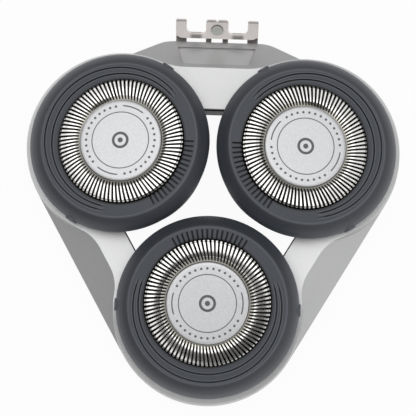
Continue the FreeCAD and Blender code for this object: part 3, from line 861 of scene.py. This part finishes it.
def disc_silver(side):
    world_turn = math.radians(ARC_TURNS[side])
    outward = head_places[side].to_3x3() @ Vector((1, 0, 0))
    local_turn = world_turn - math.atan2(outward.y, outward.x)

    def recipe(ink):
        x, y, _ = ink.on_head(side).split()
        radius = (x * x + y * y) ** 0.5
        across = x * math.cos(local_turn) + y * math.sin(local_turn)
        aside = y * math.cos(local_turn) - x * math.sin(local_turn)
        angle = ink.math("ARCTAN2", aside, across)
        circle = band(radius - CIRCLE_RADIUS, 0.06, 0.05)
        arc_side = abs(aside / radius)
        arc = band(radius - ARC_RADIUS, 0.08, 0.06) * (1.0 - arc_side.ramp(0.30, 0.315))
        swing = ink.math("PINGPONG", angle + 2 * math.pi, DOT_STEP / 2)
        from_dot = ((swing * radius) ** 2.0 + (radius - DOT_ROW_RADIUS) ** 2.0) ** 0.5
        dots = band(from_dot, DOT_RADIUS, 0.06) * arc_side.ramp(0.42, 0.43)
        centre = band(radius - CENTRE_RING, 0.20, 0.06).most(band(radius, CENTRE_DOT, 0.06))
        print_mask = circle.most(arc).most(dots).most(centre)
        speckle = ink.noise(0.18 * MM, 1.0)
        dark = tone(0.625, 0.63, 0.642)
        light = tone(0.725, 0.73, 0.742)
        plain = ink.mix(speckle.ramp(0.30, 0.70), dark, light)
        return {
            "Base Color": ink.mix(print_mask * 0.9, plain, tone(0.07, 0.07, 0.075)),
            "Roughness": 0.34 + 0.10 * speckle + 0.15 * print_mask,
            "Metallic": 0.5,
            "Normal": grain(ink, 0.08, 0.001),
        }
    return paint(side + " disc silver", recipe)


print("turns of the print:", ARC_TURNS)

# %% [markdown]
# The cover itself is round, so it is spun as well. Its face is nearly flat, and its edge rolls
# over into the well.

# %% Discs
disc_outline = [
    (0.0, 4.60),
    (3.6, 4.60),
    (6.6, 4.59),
    (6.96, 4.57),
    (7.07, 4.50),
    (7.11, 4.38),
    (7.11, 3.66),
    (0.0, 3.66),
]
for side in SIDES:
    mesh = spun_mesh(side + "_disc_face", disc_outline, steps=144)
    finish_mesh(mesh, smooth_angle=40.0)
    mesh.transform(head_places[side])
    disc = bpy.data.objects.new(side + "_disc_face", mesh)
    scene.collection.objects.link(disc)
    dressed(disc, disc_silver(side), side + "_head", "disc_silver", side + "_disc")
print("discs printed:", len(SIDES))

# %% [markdown]
# The solids that are right as they are only need their finish. Most of them hide inside or
# underneath, but they show through the slots, past the rings and from below.

# %% Finishes of the remaining solids
node_paint = {
    "under_frame": dark_plastic,
    "frame_screws": pin_steel,
    "hinge_pin": pin_steel,
    "cutter_blades": blade_steel,
    "cutter_carrier": dark_plastic,
    "retainer": inner_plastic,
    "pivot_pins": pin_steel,
    "hair_cup": dark_plastic,
}
for name, solid in nodes.items():
    kind = name.split("_", 1)[1] if name.split("_")[0] in SIDES else name
    if kind in node_paint:
        solid.data.materials.clear()
        solid.data.materials.append(node_paint[kind])
print("painted kinds:", len(node_paint))

# %% [markdown]
# The part is held just above a white sheet, so that the hinge can swing down without sinking
# in. The sheet is drawn white to the eye and in reflections, yet it still darkens a little
# where the part keeps the light away.

# %% White sheet
FLOOR_HALF = 600 * MM
FLOOR_LEVEL = -3.0 * MM
FLOOR_GLOW = 0.95

floor_mesh = bpy.data.meshes.new("floor")
corners = [(-1, -1), (1, -1), (1, 1), (-1, 1)]
floor_mesh.from_pydata(
    [(x * FLOOR_HALF, y * FLOOR_HALF, FLOOR_LEVEL) for x, y in corners],
    [], [(0, 1, 2, 3)],
)
floor = bpy.data.objects.new("floor", floor_mesh)
scene.collection.objects.link(floor)


def seen_directly(ink):
    """1 for rays from the eye, from reflections and through glass."""
    paths = ink.add("ShaderNodeLightPath").outputs
    camera_ray = Wire(ink.tree, paths["Is Camera Ray"])
    glossy_ray = Wire(ink.tree, paths["Is Glossy Ray"])
    clear_ray = Wire(ink.tree, paths["Is Transmission Ray"])
    return camera_ray.most(glossy_ray).most(clear_ray)


floor_paint = bpy.data.materials.new("white sheet")
floor_paint.use_nodes = True
floor_paint.node_tree.nodes.clear()
floor_mesh.materials.append(floor_paint)
sheet = Wire(floor_paint.node_tree)
matte = sheet.node("ShaderNodeBsdfDiffuse", None, {"Color": tone(0.85, 0.85, 0.85)})
glow = sheet.node("ShaderNodeEmission", None, {"Color": tone(1, 1, 1), "Strength": 1.0})
share = seen_directly(sheet) * FLOOR_GLOW
surface = sheet.node("ShaderNodeMixShader", None, {0: share, 1: matte, 2: glow})
sheet.add("ShaderNodeOutputMaterial", None, {"Surface": surface})
print("sheet level in mm:", FLOOR_LEVEL / MM)

# %% [markdown]
# A metal shows its surroundings, so the sky is drawn with some care: a broad light overhead,
# lights low on the right and in front, some light from below, and a dark patch for the
# photographer, who leans in from the front. The front cap's bars mirror that patch.

# %% Sky
# Bright parts of the sky: direction, strength, and how nearly a ray has to point there for
# the light to begin and for the whole of it (1 is straight at it).
GLOWS = (
    ((-0.11, 0.13, 1.0), 0.80, 0.45, 0.85),
    ((0.8, -0.45, 0.15), 0.80, 0.55, 1.0),
    ((0.0, -1.0, 0.05), 0.30, 0.75, 0.95),
)
SKY_BASE = 0.20
FROM_BELOW = 0.45
PHOTOGRAPHER = (0.10, -0.37, 0.92)
PHOTOGRAPHER_SHADE = 0.88

world = bpy.data.worlds.new("studio")
world.use_nodes = True
scene.world = world
world.node_tree.nodes.clear()
sky = Wire(world.node_tree)


def facing(direction):
    """How nearly the sky's place lies in a direction: 1 there, 0 at a right angle."""
    look = sky.node("ShaderNodeTexCoord", output="Generated")
    inputs = {0: look, 1: Vector(direction).normalized()}
    return sky.node("ShaderNodeVectorMath", {"operation": "DOT_PRODUCT"}, inputs, "Value")


strength = SKY_BASE
for direction, power, least, full in GLOWS:
    strength = strength + power * facing(direction).ramp(least, full)
strength = strength + FROM_BELOW * (0.0 - facing(UP)).ramp(-0.02, 0.10)
strength = strength * (1.0 - PHOTOGRAPHER_SHADE * facing(PHOTOGRAPHER).ramp(0.96, 0.985))
backdrop = sky.node("ShaderNodeBackground", None, {"Color": tone(1, 1, 1), "Strength": strength})
sky.add("ShaderNodeOutputWorld", None, {"Surface": backdrop})
print("lights drawn on the sky:", len(GLOWS))

# %% [markdown]
# One square lamp stands overhead and a little to the rear. Its matrix turns its face to the
# part from wherever it stands.

# %% Lamp
LAMP_SPOT = Vector((-0.03, 0.10, 0.60))
LAMP_SIZE = 0.50
LAMP_POWER = 0.60

lamp_data = bpy.data.lights.new("key", "AREA")
lamp_data.size = LAMP_SIZE
lamp_data.energy = LAMP_POWER
lamp = bpy.data.objects.new("key", lamp_data)
scene.collection.objects.link(lamp)
lamp_turn = LAMP_SPOT.to_track_quat("Z", "Y").to_matrix().to_4x4()
lamp.matrix_world = Matrix.Translation(LAMP_SPOT) @ lamp_turn
print("lamp at", [round(value / MM) for value in LAMP_SPOT], "mm")
